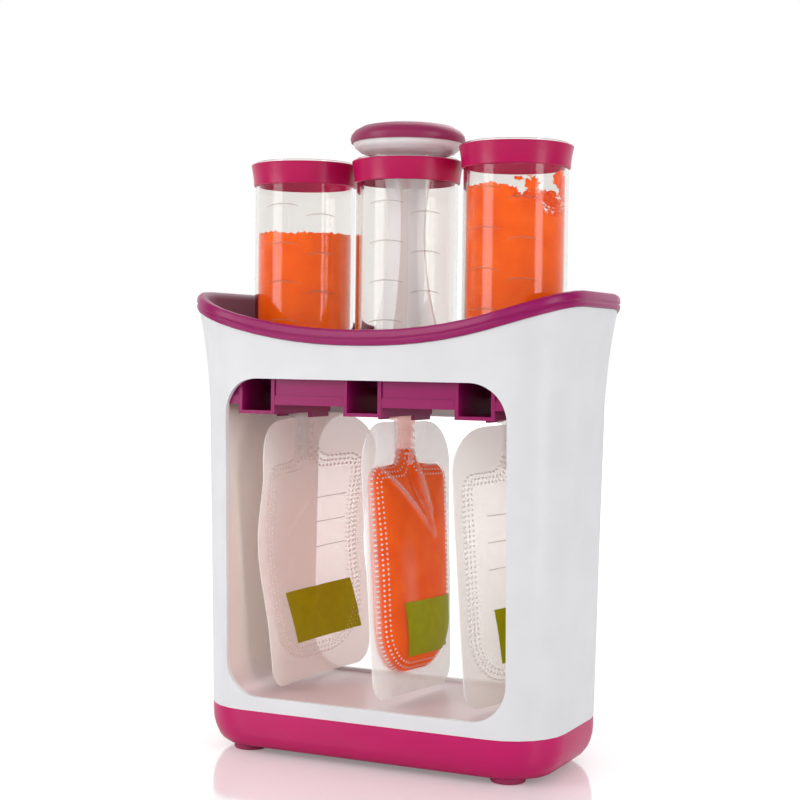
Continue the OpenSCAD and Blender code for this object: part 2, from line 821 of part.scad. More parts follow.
module spout(i) {
    lower_flange_z = channel_z - channel_floor;
    color(frosted)
    translate([tube_x(i), 0, 0])
        difference() {
            union() {
                translate([0, 0, insert_z])
                    cylinder(d = neck_d - 1.6, h = spout_top_z - insert_z - 1);
                translate([0, 0, pouch_top_z - 1])
                    cylinder(d = neck_d, h = spout_top_z - pouch_top_z);
                translate([0, 0, spout_top_z - 1 - eps])
                    cylinder(d1 = neck_d, d2 = neck_d - 1.4, h = 1 + eps);
                translate([0, 0, flange_z])
                    cylinder(d = flange_d, h = flange_h);
                translate([0, 0, lower_flange_z - 1])
                    cylinder(d = flange_d - 0.6, h = 1.2);
                for (k = [0:4])
                    translate([0, 0, insert_z + 1 + 3.6 * k])
                        cylinder(d = neck_d, h = 1.2);
            }
            translate([0, 0, insert_z - 1])
                cylinder(d = neck_d - 3.6, h = spout_top_z - insert_z + 2);
        }
}

module socket_left() { tube_socket(LEFT); }
module socket_middle() { tube_socket(MIDDLE); }
module socket_right() { tube_socket(RIGHT); }
module channel_left() { spout_channel(LEFT); }
module channel_middle() { spout_channel(MIDDLE); }
module channel_right() { spout_channel(RIGHT); }
module tube_left() { filling_tube(LEFT); }
module tube_middle() { filling_tube(MIDDLE); }
module tube_right() { filling_tube(RIGHT); }
module collar_left() { collar(LEFT); }
module collar_middle() { collar(MIDDLE); }
module collar_right() { collar(RIGHT); }
module puree_left() { puree(LEFT, left_fill_h, 0.7); }
module puree_right() { puree(RIGHT, right_fill_h, 1.6); }
module pouch_left() { pouch(LEFT); }
module pouch_middle() { pouch(MIDDLE); }
module pouch_right() { pouch(RIGHT); }
module spout_left() { spout(LEFT); }
module spout_middle() { spout(MIDDLE); }
module spout_right() { spout(RIGHT); }

base_tray();
rubber_feet();
base_screws();
body_shell();
bay_liner();
top_rim();
filling_deck();
deck_fascia();
socket_left();
socket_middle();
socket_right();
channel_left();
channel_middle();
channel_right();
tube_gaskets();
spout_seals();
tube_left();
tube_middle();
tube_right();
collar_left();
collar_middle();
collar_right();
puree_left();
puree_right();
press_cap();
press_cup();
press_stem();
press_piston();
piston_seal();
pouch_left();
pouch_middle();
pouch_right();
spout_left();
spout_middle();
spout_right();
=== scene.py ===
"""Looks of the food pouch filling station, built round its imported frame.

The frame gives every rigid piece in metres. This script dresses those pieces, models the puree and
the pouches as meshes, and sets the camera, the floor and the light.
"""
import itertools
import logging
import math
from dataclasses import dataclass, field
from enum import Enum
from typing import Callable, Optional, Sequence, Union

import bpy
from mathutils import Matrix, Vector, noise


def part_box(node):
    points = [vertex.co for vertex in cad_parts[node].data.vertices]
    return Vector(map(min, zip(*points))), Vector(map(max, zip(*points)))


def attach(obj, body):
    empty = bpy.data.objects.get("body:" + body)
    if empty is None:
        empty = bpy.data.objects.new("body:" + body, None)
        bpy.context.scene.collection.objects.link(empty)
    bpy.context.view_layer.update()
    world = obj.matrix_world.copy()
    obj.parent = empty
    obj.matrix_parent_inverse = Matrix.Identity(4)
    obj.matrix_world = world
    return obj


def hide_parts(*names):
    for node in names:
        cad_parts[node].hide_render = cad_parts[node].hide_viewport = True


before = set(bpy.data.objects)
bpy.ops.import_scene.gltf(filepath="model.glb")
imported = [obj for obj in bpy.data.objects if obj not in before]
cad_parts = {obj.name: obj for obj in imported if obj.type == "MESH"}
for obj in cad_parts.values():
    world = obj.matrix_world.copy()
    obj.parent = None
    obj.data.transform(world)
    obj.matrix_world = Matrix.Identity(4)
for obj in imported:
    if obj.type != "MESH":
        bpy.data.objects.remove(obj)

log = logging.getLogger("station")
MM = 0.001
Point = tuple[float, float, float]
Colour = tuple[float, float, float]
Tone = Union[Colour, bpy.types.NodeSocket]


class Place(Enum):
    """The three places along the station, from the photograph's left to its right."""

    LEFT = "left"
    MIDDLE = "middle"
    RIGHT = "right"

    def node(self, kind: str) -> str:
        """Names a CAD node of this place, such as tube_left."""
        return f"{kind}_{self.value}"

    def body(self, kind: str) -> str:
        """Names a CAD body of this place, such as left_tube."""
        return f"{self.value}_{kind}"


def smoothstep(low: float, high: float, value: float) -> float:
    """Rises smoothly from 0 at low to 1 at high."""
    share = min(max((value - low) / (high - low), 0.0), 1.0)
    return share * share * (3 - 2 * share)


def bell(value: float, width: float) -> float:
    """A bump of height 1 at zero that fades out over width."""
    return math.exp(-(value / width) ** 2)


def ripple(x: float, y: float, z: float, octaves: int = 3) -> float:
    """Fixed fractal noise, about -1 to 1."""
    return noise.fractal(Vector((x, y, z)), 0.9, 2.1, octaves)


# ---- Finishes ----


class Recipe:
    """A material's node tree, with short calls for adding and joining nodes."""

    def __init__(self, name: str) -> None:
        """Starts an empty recipe.

        Args:
            name: the material's name.
        """
        self.material = bpy.data.materials.new(name)
        self.material.use_nodes = True
        self.tree = self.material.node_tree
        self.shader = self.tree.nodes["Principled BSDF"]

    def add(self, kind: str, **settings: object) -> bpy.types.Node:
        """Adds a node.

        Args:
            kind: the node's type.
            **settings: properties of the node, or input values by socket name with _ for space.

        Returns:
            The new node.
        """
        made = self.tree.nodes.new(kind)
        for key, value in settings.items():
            socket = made.inputs.get(key.replace("_", " "))
            if socket is None:
                setattr(made, key, value)
            else:
                socket.default_value = value
        return made

    def join(self, source: bpy.types.NodeSocket, target: bpy.types.NodeSocket) -> None:
        """Links an output to an input."""
        self.tree.links.new(source, target)

    def set(self, **values: object) -> None:
        """Sets inputs of the main shader, by socket name with _ for space."""
        for key, value in values.items():
            self.shader.inputs[key.replace("_", " ")].default_value = value

    def position(self) -> bpy.types.NodeSocket:
        """The point on the piece, in metres in its own frame."""
        return self.add("ShaderNodeTexCoord").outputs["Object"]

    def grain(self, size: float, detail: float = 4.0) -> bpy.types.NodeSocket:
        """Noise on the piece.

        Args:
            size: a grain's size in metres.
            detail: how many finer layers of grain there are.

        Returns:
            The noise's value, 0 to 1.
        """
        made = self.add("ShaderNodeTexNoise", Scale=1 / size, Detail=detail)
        self.join(self.position(), made.inputs["Vector"])
        return made.outputs["Fac"]

    def between(self, value: bpy.types.NodeSocket, low: float, high: float,
                to_low: float = 0.0, to_high: float = 1.0) -> bpy.types.NodeSocket:
        """Maps a value from one range to another.

        Args:
            value: the value to map.
            low: the value that becomes to_low.
            high: the value that becomes to_high.
            to_low: the result at low.
            to_high: the result at high.

        Returns:
            The mapped value.
        """
        made = self.add("ShaderNodeMapRange", From_Min=low, From_Max=high, To_Min=to_low, To_Max=to_high)
        self.join(value, made.inputs["Value"])
        return made.outputs["Result"]

    def blend(self, share: bpy.types.NodeSocket, first: Tone, second: Tone) -> bpy.types.NodeSocket:
        """Mixes two tones, each a colour or an output.

        Args:
            share: 0 for the first tone, 1 for the second.
            first: the first tone.
            second: the second tone.

        Returns:
            The mixed colour.
        """
        made = self.add("ShaderNodeMix", data_type="RGBA")
        for tone, socket in zip((first, second), (s for s in made.inputs if s.type == "RGBA")):
            if isinstance(tone, bpy.types.NodeSocket):
                self.join(tone, socket)
            else:
                socket.default_value = (*tone, 1)
        self.join(share, made.inputs[0])
        return next(s for s in made.outputs if s.type == "RGBA")

    def height(self) -> bpy.types.NodeSocket:
        """The height above the floor.

        Returns:
            The height in metres.
        """
        place = self.add("ShaderNodeNewGeometry")
        parts = self.add("ShaderNodeSeparateXYZ")
        self.join(place.outputs["Position"], parts.inputs[0])
        return parts.outputs["Z"]

    def bump(self, height: bpy.types.NodeSocket, depth: float, strength: float = 1.0) -> None:
        """Roughens the main shader's surface.

        Args:
            height: the height's value, 0 to 1.
            depth: the height of 1 in metres.
            strength: how much of it shows.
        """
        made = self.add("ShaderNodeBump", Distance=depth, Strength=strength)
        self.join(height, made.inputs["Height"])
        self.join(made.outputs["Normal"], self.shader.inputs["Normal"])


@dataclass(frozen=True)
class MouldedPlastic:
    """Satin injection-moulded plastic with a faint grain."""

    name: str
    colour: Colour
    roughness: float = 0.34
    gloss: float = 0.5
    cover: float = 1.0
    # glow: painted light, an emission that makes a part look lit from within.
    glow: float = 0.0
    # Painted shade: an optional darker colour below a height, standing in for the shade and reflections on a
    # floor.
    painted_shade_colour: Optional[Colour] = None
    painted_shade_height: float = 0.03
    grain_mm: float = 1.4
    grain_depth_mm: float = 0.01

    def build(self) -> bpy.types.Material:
        """Makes the material.

        Returns:
            The new material.
        """
        recipe = Recipe(self.name)
        cloud = recipe.grain(24 * MM, 2)
        darker = tuple(c * 0.96 for c in self.colour)
        tone = recipe.blend(recipe.between(cloud, 0.35, 0.65), darker, self.colour)
        # Painted shade: low down, the colour turns to the darker shade colour.
        if self.painted_shade_colour:
            high = recipe.between(recipe.height(), self.painted_shade_height, self.painted_shade_height + 12 * MM)
            tone = recipe.blend(high, self.painted_shade_colour, tone)
        recipe.join(tone, recipe.shader.inputs["Base Color"])
        recipe.set(Alpha=self.cover, Roughness=self.roughness, Specular_IOR_Level=self.gloss,
                   Emission_Color=(*self.colour, 1), Emission_Strength=self.glow)
        recipe.bump(recipe.grain(self.grain_mm * MM, 0), self.grain_depth_mm * MM, 0.6)
        return recipe.material


@dataclass(frozen=True)
class ClearPlastic:
    """Clear moulded plastic, such as a tube's wall."""

    name: str
    tint: Colour
    roughness: float = 0.015
    waviness_mm: float = 0.03
    index: float = 1.34

    def build(self) -> bpy.types.Material:
        """Makes the material, which lets light through to what it holds.

        Returns:
            The new material.
        """
        recipe = Recipe(self.name)
        recipe.set(Base_Color=(*self.tint, 1), Transmission_Weight=1.0,
                   Roughness=self.roughness, IOR=self.index)
        recipe.bump(recipe.grain(16 * MM, 1), self.waviness_mm * MM, 0.5)
        rays = recipe.add("ShaderNodeLightPath")
        either = recipe.add("ShaderNodeMath", operation="MAXIMUM")
        recipe.join(rays.outputs["Is Shadow Ray"], either.inputs[0])
        recipe.join(rays.outputs["Is Diffuse Ray"], either.inputs[1])
        pass_through = recipe.add("ShaderNodeBsdfTransparent")
        mix = recipe.add("ShaderNodeMixShader")
        recipe.join(either.outputs[0], mix.inputs[0])
        recipe.join(recipe.shader.outputs[0], mix.inputs[1])
        recipe.join(pass_through.outputs[0], mix.inputs[2])
        recipe.join(mix.outputs[0], recipe.tree.nodes["Material Output"].inputs["Surface"])
        return recipe.material


@dataclass(frozen=True)
class Puree:
    """Wet, finely lumpy puree."""

    name: str
    colour: Colour
    shade: Colour
    roughness: float = 0.42
    # glow: painted light, an emission that makes the puree look lit from within.
    glow: float = 0.14

    def build(self) -> bpy.types.Material:
        """Makes the material.

        Returns:
            The new material.
        """
        recipe = Recipe(self.name)
        cloud = recipe.grain(9 * MM, 6)
        recipe.join(recipe.blend(recipe.between(cloud, 0.32, 0.68), self.shade, self.colour),
                    recipe.shader.inputs["Base Color"])
        recipe.set(Roughness=self.roughness, Specular_IOR_Level=0.06,
                   Emission_Color=(*self.colour, 1), Emission_Strength=self.glow,
                   Subsurface_Weight=0.15, Subsurface_Scale=0.003)
        recipe.shader.inputs["Subsurface Radius"].default_value = (1.0, 0.3, 0.05)
        recipe.bump(recipe.grain(1.1 * MM, 6), 0.22 * MM, 0.6)
        return recipe.material


@dataclass(frozen=True)
class Film:
    """Milky film. A point attribute says how white and dense it is, from 0 to 1; along the folds part of that
    is painted highlight.
    """

    name: str
    colour: Colour
    clear_alpha: float
    milky_alpha: float
    roughness: float = 0.3
    # glow: painted light, an emission that stands in for light shining through the film.
    glow: float = 0.075

    def build(self) -> bpy.types.Material:
        """Makes the material.

        Returns:
            The new material.
        """
        recipe = Recipe(self.name)
        milk_and_highlight = recipe.add("ShaderNodeAttribute", attribute_name="milk_and_highlight").outputs["Fac"]
        mottled = recipe.add("ShaderNodeMath", operation="MULTIPLY")
        recipe.join(milk_and_highlight, mottled.inputs[0])
        recipe.join(recipe.between(recipe.grain(9 * MM, 3), 0.3, 0.7, 0.9, 1.06), mottled.inputs[1])
        recipe.join(recipe.between(mottled.outputs[0], 0, 1, self.clear_alpha, self.milky_alpha),
                    recipe.shader.inputs["Alpha"])
        recipe.set(Base_Color=(*self.colour, 1), Roughness=self.roughness,
                   Emission_Color=(*self.colour, 1), Emission_Strength=self.glow)
        recipe.bump(recipe.grain(3.4 * MM, 3), 0.09 * MM, 0.7)
        return recipe.material


@dataclass(frozen=True)
class Print:
    """A flat printed patch or line."""

    name: str
    colour: Colour
    roughness: float = 0.4
    alpha: float = 1.0

    def build(self) -> bpy.types.Material:
        """Makes the material.

        Returns:
            The new material.
        """
        recipe = Recipe(self.name)
        darker = tuple(c * 0.86 for c in self.colour)
        recipe.join(recipe.blend(recipe.between(recipe.grain(5 * MM, 3), 0.3, 0.7), darker, self.colour),
                    recipe.shader.inputs["Base Color"])
        recipe.set(Roughness=self.roughness, Alpha=self.alpha, Specular_IOR_Level=0.12)
        return recipe.material


@dataclass(frozen=True)
class Steel:
    """Zinc-plated steel."""

    name: str
    colour: Colour

    def build(self) -> bpy.types.Material:
        """Makes the material.

        Returns:
            The new material.
        """
        recipe = Recipe(self.name)
        recipe.set(Base_Color=(*self.colour, 1), Metallic=1.0)
        recipe.join(recipe.between(recipe.grain(0.4 * MM), 0.3, 0.7, 0.28, 0.42),
                    recipe.shader.inputs["Roughness"])
        recipe.bump(recipe.grain(0.2 * MM), 0.01 * MM)
        return recipe.material


class Finishes:
    """Every finish of the station, made once."""

    def __init__(self) -> None:
        """Makes the materials."""
        self.magenta = MouldedPlastic("magenta_plastic", (0.56, 0.004, 0.125), gloss=0.35).build()
        self.collar = MouldedPlastic("collar_plastic", (0.52, 0.006, 0.095),
                                     roughness=0.3, gloss=0.35).build()
        self.plum = MouldedPlastic("plum_plastic", (0.32, 0.004, 0.115), roughness=0.32, gloss=0.35).build()
        # Painted shade: a darker copy of the plum for the deck, the sockets and the rim's inner faces,
        # standing in for the shade in the recess.
        self.plum_shade = MouldedPlastic("plum_painted_shade", (0.15, 0.003, 0.055), roughness=0.4, gloss=0.2).build()
        self.cap = MouldedPlastic("cap_plastic", (0.31, 0.020, 0.095), roughness=0.38, gloss=0.4).build()
        self.white = MouldedPlastic("white_plastic", (0.80, 0.80, 0.82), roughness=0.3,
                                    grain_mm=2.5, grain_depth_mm=0.006).build()
        # Painted shade: the liner is white plastic, and its warm beige colour stands in for shade and warm
        # bounce light in the bay.
        self.liner = MouldedPlastic("liner_painted_shade", (0.84, 0.73, 0.67), roughness=0.3,
                                    painted_shade_colour=(0.66, 0.52, 0.53)).build()
        self.foot = MouldedPlastic("foot_rubber", (0.36, 0.02, 0.10), roughness=0.6).build()
        self.silicone = MouldedPlastic("grey_silicone", (0.6, 0.6, 0.6), roughness=0.55).build()
        self.clear = ClearPlastic("clear_plastic", (0.905, 0.885, 0.865)).build()
        # Painted light: the stem, the frosted parts and the stained spout glow a little, standing in for
        # light that passes through them.
        self.stem = MouldedPlastic("stem_plastic", (0.96, 0.96, 0.97), roughness=0.25,
                                   cover=0.55, glow=0.06).build()
        self.frosted = MouldedPlastic("frosted_plastic", (0.95, 0.90, 0.88), cover=0.36, glow=0.04).build()
        self.stained = MouldedPlastic("stained_plastic", (0.98, 0.68, 0.62), cover=0.55, glow=0.13).build()
        self.cup = MouldedPlastic("cup_plastic", (0.88, 0.85, 0.86), roughness=0.22).build()
        self.puree = Puree("orange_puree", (1.0, 0.130, 0.001), (0.86, 0.088, 0.0005)).build()
        self.film = Film("pouch_film", (0.98, 0.96, 0.93), 0.50, 0.62).build()
        self.filled_film = Film("filled_pouch_film", (0.98, 0.95, 0.93), 0.02, 0.58).build()
        self.dots = Print("weld_dots", (1.0, 0.96, 0.93), roughness=0.35, alpha=0.9).build()
        self.label = Print("olive_label", (0.42, 0.43, 0.001), roughness=0.5).build()
        self.scale = Print("scale_print", (0.55, 0.50, 0.47), alpha=0.7).build()
        # Painted shade: the clear raised marks get a see-through grey-brown colour that stands in for the
        # shade along their relief.
        self.mark = Print("mark_painted_shade", (0.42, 0.29, 0.23), roughness=0.15, alpha=0.38).build()
        self.steel = Steel("zinc_steel", (0.62, 0.62, 0.64)).build()


# ---- Meshes ----


class Shape:
    """A mesh being built from points and faces, in metres."""

    def __init__(self) -> None:
        """Starts an empty mesh."""
        self.points: list[Vector] = []
        self.faces: list[tuple[int, ...]] = []
        self.milk_and_highlight: list[float] = []

    def grid(self, rows: int, columns: int, place: Callable[[int, int], Vector], closed: bool = False) -> int:
        """Adds a grid of faces.

        Args:
            rows: how many rows of points there are.
            columns: how many points a row has.
            place: gives the point of a row and column.
            closed: True where a row's last point joins its first.

        Returns:
            The index of the grid's first point.
        """
        start = len(self.points)
        self.points += [place(r, c) for r in range(rows) for c in range(columns)]
        wrap = columns if closed else columns - 1
        for r in range(rows - 1):
            for c in range(wrap):
                d = (c + 1) % columns
                low, high = start + r * columns, start + (r + 1) * columns
                self.faces.append((low + c, low + d, high + d, high + c))
        return start

    def cap(self, ring: Sequence[int], middle: Vector) -> None:
        """Closes a ring of points with a fan about a middle point.

        Args:
            ring: the points' indices, in order.
            middle: the fan's middle.
        """
        hub = len(self.points)
        self.points.append(middle)
        for k, a in enumerate(ring):
            self.faces.append((a, ring[(k + 1) % len(ring)], hub))

    def make(self, name: str, finish: bpy.types.Material) -> bpy.types.Object:
        """Makes the object.

        Args:
            name: the piece's name.
            finish: its material.

        Returns:
            The new object, shaded smooth.
        """
        mesh = bpy.data.meshes.new(name)
        mesh.from_pydata([tuple(p) for p in self.points], [], self.faces)
        mesh.validate()
        if self.milk_and_highlight:
            mesh.attributes.new("milk_and_highlight", "FLOAT", "POINT").data.foreach_set("value", self.milk_and_highlight)
        mesh.materials.append(finish)
        mesh.polygons.foreach_set("use_smooth", [True] * len(mesh.polygons))
        made = bpy.data.objects.new(name, mesh)
        bpy.context.scene.collection.objects.link(made)
        return made


@dataclass
class EdgeShading:
    """Shades the CAD pieces smooth, with hard edges only where the surface really turns."""

    crease_deg: float = 32.0
    weld_mm: float = 0.004
    group: Optional[bpy.types.NodeTree] = field(default=None, init=False)

    def _build(self) -> bpy.types.NodeTree:
        """Makes the node group that welds the split corners and marks the hard edges.

        Returns:
            The new node group.
        """
        tree = bpy.data.node_groups.new("edge_shading", "GeometryNodeTree")
        tree.interface.new_socket("Geometry", in_out="INPUT", socket_type="NodeSocketGeometry")
        tree.interface.new_socket("Geometry", in_out="OUTPUT", socket_type="NodeSocketGeometry")
        start = tree.nodes.new("NodeGroupInput")
        end = tree.nodes.new("NodeGroupOutput")
        weld = tree.nodes.new("GeometryNodeMergeByDistance")
        weld.inputs["Distance"].default_value = self.weld_mm * MM
        smooth = tree.nodes.new("GeometryNodeSetShadeSmooth")
        angle = tree.nodes.new("GeometryNodeInputMeshEdgeAngle")
        turned = tree.nodes.new("FunctionNodeCompare")
        turned.operation = "GREATER_THAN"
        turned.inputs["B"].default_value = math.radians(self.crease_deg)
        crease = tree.nodes.new("GeometryNodeSetShadeSmooth")
        crease.domain = "EDGE"
        crease.inputs["Shade Smooth"].default_value = False
        for source, target in (
            (start.outputs[0], weld.inputs["Geometry"]),
            (weld.outputs[0], smooth.inputs["Geometry"]),
            (smooth.outputs[0], crease.inputs["Geometry"]),
            (angle.outputs["Unsigned Angle"], turned.inputs["A"]),
            (turned.outputs[0], crease.inputs["Selection"]),
            (crease.outputs[0], end.inputs[0]),
        ):
            tree.links.new(source, target)
        return tree

    def apply(self, piece: bpy.types.Object) -> None:
        """Adds the shading to a CAD piece, whose own points stay as they are.

        Args:
            piece: the node's object.
        """
        self.group = self.group or self._build()
        stored = piece.data.attributes.get("custom_normal")
        if stored is not None:
            piece.data.attributes.remove(stored)
        modifier = piece.modifiers.new("edge_shading", "NODES")
        modifier.node_group = self.group


@dataclass
class Wardrobe:
    """Dresses CAD nodes."""

    finishes: Finishes
    shading: EdgeShading = field(default_factory=EdgeShading)

    def dress(self, node: str, finish: bpy.types.Material) -> None:
        """Gives a CAD node its finish and its shading.

        Args:
            node: the node's name.
            finish: its material.
        """
        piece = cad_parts[node]
        piece.data.materials.clear()
        piece.data.materials.append(finish)
        self.shading.apply(piece)
        log.info("dressed %s in %s", node, finish.name)

    def line(self, node: str, finish: bpy.types.Material) -> None:
        """Paints shade on the upright faces that look inwards, by giving them another, darker finish.

        Args:
            node: the node's name.
            finish: their material.
        """
        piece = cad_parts[node]
        piece.data.materials.append(finish)
        for face in piece.data.polygons:
            place = piece.matrix_world @ face.center
            if face.normal.x * place.x + face.normal.y * place.y < -0.35 * math.hypot(place.x, place.y):
                face.material_index = 1


# ---- Sub-assemblies ----


@dataclass
class Housing:
    """Base, shell, liner, rim and deck, all rigid CAD pieces."""

    wardrobe: Wardrobe

    def build(self) -> None:
        """Dresses the housing's pieces."""
        finishes = self.wardrobe.finishes
        for node, finish in {
            "base_tray": finishes.magenta,
            "rubber_feet": finishes.foot,
            "base_screws": finishes.steel,
            "body_shell": finishes.white,
            "bay_liner": finishes.liner,
            "top_rim": finishes.plum,
            "filling_deck": finishes.plum_shade,
            "deck_fascia": finishes.plum,
            "tube_gaskets": finishes.silicone,
            "spout_seals": finishes.silicone,
        }.items():
            self.wardrobe.dress(node, finish)
        # Painted shade on the rim's inward faces.
        self.wardrobe.line("top_rim", finishes.plum_shade)
        for place in Place:
            self.wardrobe.dress(place.node("socket"), finishes.plum_shade)
            self.wardrobe.dress(place.node("channel"), finishes.plum)


@dataclass
class Press:
    """The hand press in the middle tube."""

    wardrobe: Wardrobe

    def build(self) -> None:
        """Dresses the press's pieces."""
        finishes = self.wardrobe.finishes
        for node, finish in {
            "press_cap": finishes.cap,
            "press_cup": finishes.cup,
            "press_stem": finishes.stem,
            "press_piston": finishes.frosted,
            "piston_seal": finishes.silicone,
        }.items():
            self.wardrobe.dress(node, finish)


@dataclass(frozen=True)
class Splash:
    """A ragged clump of puree that sticks to the tube's wall."""

    at_deg: float
    height: float
    half_wide: float
    half_tall: float
    grain: float = 1.6 * MM
    ragged: float = 0.9
    bare: float = 0.0

    def thickness(self, along: float, up: float, seed: float) -> float:
        """How thick the clump is at a point beside its middle.

        Args:
            along: the place round the wall from the clump's middle.
            up: the place up from its middle.
            seed: the tube's own place in the noise.

        Returns:
            The thickness, as a share. It is negative where the wall is bare.
        """
        away = (along / self.half_wide) ** 2 + (up / self.half_tall) ** 2
        rough = ripple(along / self.grain, up / self.grain, seed + self.at_deg, 4)
        return 1 - away - self.bare + self.ragged * rough


@dataclass
class FillingTube:
    """A clear tube with its collar, its volume marks and the puree in it."""

    wardrobe: Wardrobe
    place: Place
    ragged: float = 1.0
    rise: float = 0.3 * MM
    dips: tuple[tuple[float, float], ...] = ()
    slant_deg: float = 25.7
    splashes: tuple[Splash, ...] = ()
    marks_turn_deg: float = 0.0
    mark_foot: float = 26 * MM
    mark_step: float = 18.2 * MM
    mark_arcs: tuple[tuple[float, float, float], ...] = ((-108, 40, 0.0), (-60, 34, 4.7 * MM))
    mark_steps: int = 20
    mark_clear: float = 3 * MM
    mark_half: float = 0.36 * MM
    mark_lift: float = 0.4 * MM
    mark_arch: float = 1.1 * MM
    sectors: int = 240
    cell: float = 0.35 * MM

    def build(self) -> None:
        """Dresses the tube and its collar, marks it and fills it."""
        finishes = self.wardrobe.finishes
        tube = self.place.node("tube")
        self.wardrobe.dress(tube, finishes.clear)
        self.wardrobe.dress(self.place.node("collar"), finishes.collar)
        low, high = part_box(tube)
        self._axis = Vector(((low.x + high.x) / 2, 0, 0))
        self._add_marks(low, high)
        if self.place is not Place.MIDDLE:
            self._fill()

    def _on_wall(self, radius: float, angle: float, height: float) -> Vector:
        """A point at a radius from the tube's axis."""
        return self._axis + Vector((radius * math.cos(angle), radius * math.sin(angle), height))

    def _add_marks(self, low: Vector, high: Vector) -> None:
        """Adds the raised volume marks' crests, two columns of short arcs coloured with painted shade.

        Args:
            low: the tube's lowest corner.
            high: its highest corner.
        """
        radius = (high.x - low.x) / 2 + self.mark_lift
        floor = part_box("tube_gaskets")[1].z + (high.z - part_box("tube_left")[1].z)
        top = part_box(self.place.node("collar"))[0].z
        shape = Shape()
        height = floor + self.mark_foot
        while height < top - self.mark_clear:
            for start, sweep, drop in self.mark_arcs:
                self._add_arc(shape, radius, height - drop, start, sweep)
            height += self.mark_step
        marks = shape.make(f"marks_{self.place.value}", self.wardrobe.finishes.mark)
        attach(marks, self.place.body("tube"))

    def _add_arc(self, shape: Shape, radius: float, height: float, start: float, sweep: float) -> None:
        """Adds one volume mark, arched, and thinner towards its ends.

        Args:
            shape: the marks' mesh.
            radius: the arc's radius.
            height: the height of its ends.
            start: the angle of its first end, in degrees.
            sweep: the angle that it covers, in degrees.
        """
        def crest(row: int, column: int) -> Vector:
            """A point of the arc."""
            angle = math.radians(self.marks_turn_deg + start + sweep * column / self.mark_steps)
            aside = column / (self.mark_steps / 2) - 1
            arch = self.mark_arch * (1 - aside ** 2)
            thin = self.mark_half * (1 - 0.6 * abs(aside) ** 3)
            return self._on_wall(radius, angle, height + arch + (2 * row - 1) * thin)

        shape.grid(2, self.mark_steps + 1, crest)

    def _fill(self) -> None:
        """Models the puree with its ragged top and the clumps on the wall."""
        node = self.place.node("puree")
        low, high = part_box(node)
        self._radius = (high.x - low.x) / 2
        self._top = high.z + self.rise
        self._seed = 3.1 if self.place is Place.LEFT else 8.7
        shape = Shape()
        self._add_body(shape, low.z)
        fill = shape.make(f"puree_fill_{self.place.value}", self.wardrobe.finishes.puree)
        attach(fill, self.place.body("tube"))
        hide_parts(node)
        clumps = Shape()
        for splash in self.splashes:
            self._add_splash(clumps, splash)
        if clumps.faces:
            smear = clumps.make(f"puree_clumps_{self.place.value}", self.wardrobe.finishes.puree)
            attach(smear, self.place.body("tube"))
        log.info("filled %s to %.1f mm", self.place.node("tube"), self._top / MM)

    def _edge_height(self, angle: float) -> float:
        """The puree's height on the wall at an angle.

        Args:
            angle: the angle about the tube's axis.

        Returns:
            The height in metres.
        """
        x, y, seed = math.cos(angle), math.sin(angle), self._seed
        slow = 0.8 * ripple(x * 1.3 + seed, y * 1.3, 0.4)
        quick = 0.9 * ripple(x * 8, y * 8, seed, 4) + 0.8 * ripple(x * 30, y * 30, seed, 3)
        return self._top + (slow + quick) * self.ragged * MM - self._dip(x, y)

    def _dip(self, x: float, y: float) -> float:
        """How much lower the puree's top is at a place across the tube.

        Args:
            x: the place from the axis, as a share of the radius.
            y: the place from the axis, as a share of the radius.

        Returns:
            The drop in metres.
        """
        along = x * math.cos(math.radians(self.slant_deg)) + y * math.sin(math.radians(self.slant_deg))
        along += 0.06 * ripple(x * 4, y * 4, self._seed, 3)
        return sum(depth * smoothstep(start - 0.08, start + 0.08, along) for start, depth in self.dips)

    def _add_body(self, shape: Shape, foot: float) -> None:
        """Adds the puree's side, top and foot.

        Args:
            shape: the puree's mesh.
            foot: the height of its foot.
        """
        side_rows, rings, seed = 60, 26, self._seed

        def side(row: int, column: int) -> Vector:
            """A point on the puree's side."""
            angle = 2 * math.pi * column / self.sectors
            share = row / (side_rows - 1)
            height = foot + (self._edge_height(angle) - foot) * share
            return self._on_wall(self._radius - 0.4 * MM * smoothstep(0.97, 1, share), angle, height)

        def surface(row: int, column: int) -> Vector:
            """A point on the puree's top, from the wall inwards."""
            angle = 2 * math.pi * column / self.sectors
            share = 1 - (row + 1) / (rings + 1)
            x, y = share * math.cos(angle), share * math.sin(angle)
            lumps = 1.5 * ripple(x * 3 + seed, y * 3, 1.7, 4) + 0.7 * abs(ripple(x * 11, y * 11, seed, 3))
            rim = smoothstep(0.8, 1.0, share)
            inner = self._top - 0.8 * MM + lumps * self.ragged * MM - self._dip(x, y)
            height = inner * (1 - rim) + self._edge_height(angle) * rim
            return self._on_wall((self._radius - 0.4 * MM) * share, angle, height)

        start = shape.grid(side_rows, self.sectors, side, closed=True)
        top_start = shape.grid(rings, self.sectors, surface, closed=True)
        last_side = start + (side_rows - 1) * self.sectors
        for c in range(self.sectors):
            d = (c + 1) % self.sectors
            shape.faces.append((last_side + c, last_side + d, top_start + d, top_start + c))
        inner = top_start + (rings - 1) * self.sectors
        shape.cap([inner + c for c in range(self.sectors)], self._on_wall(0, 0, self._top))
        shape.cap([start + c for c in reversed(range(self.sectors))], self._on_wall(0, 0, foot))

    def _add_splash(self, shape: Shape, splash: Splash) -> None:
        """Adds a clump on the wall: the cells of a fine grid where the clump has some thickness.

        Args:
            shape: the clumps' mesh.
            splash: the clump.
        """
        columns, rows = (int(1.6 * half / self.cell) for half in (splash.half_wide, splash.half_tall))
        index: dict[tuple[int, int], int] = {}

        def thickness(row: int, column: int) -> float:
            """The clump's thickness at a grid point."""
            return splash.thickness(column * self.cell, row * self.cell, self._seed)

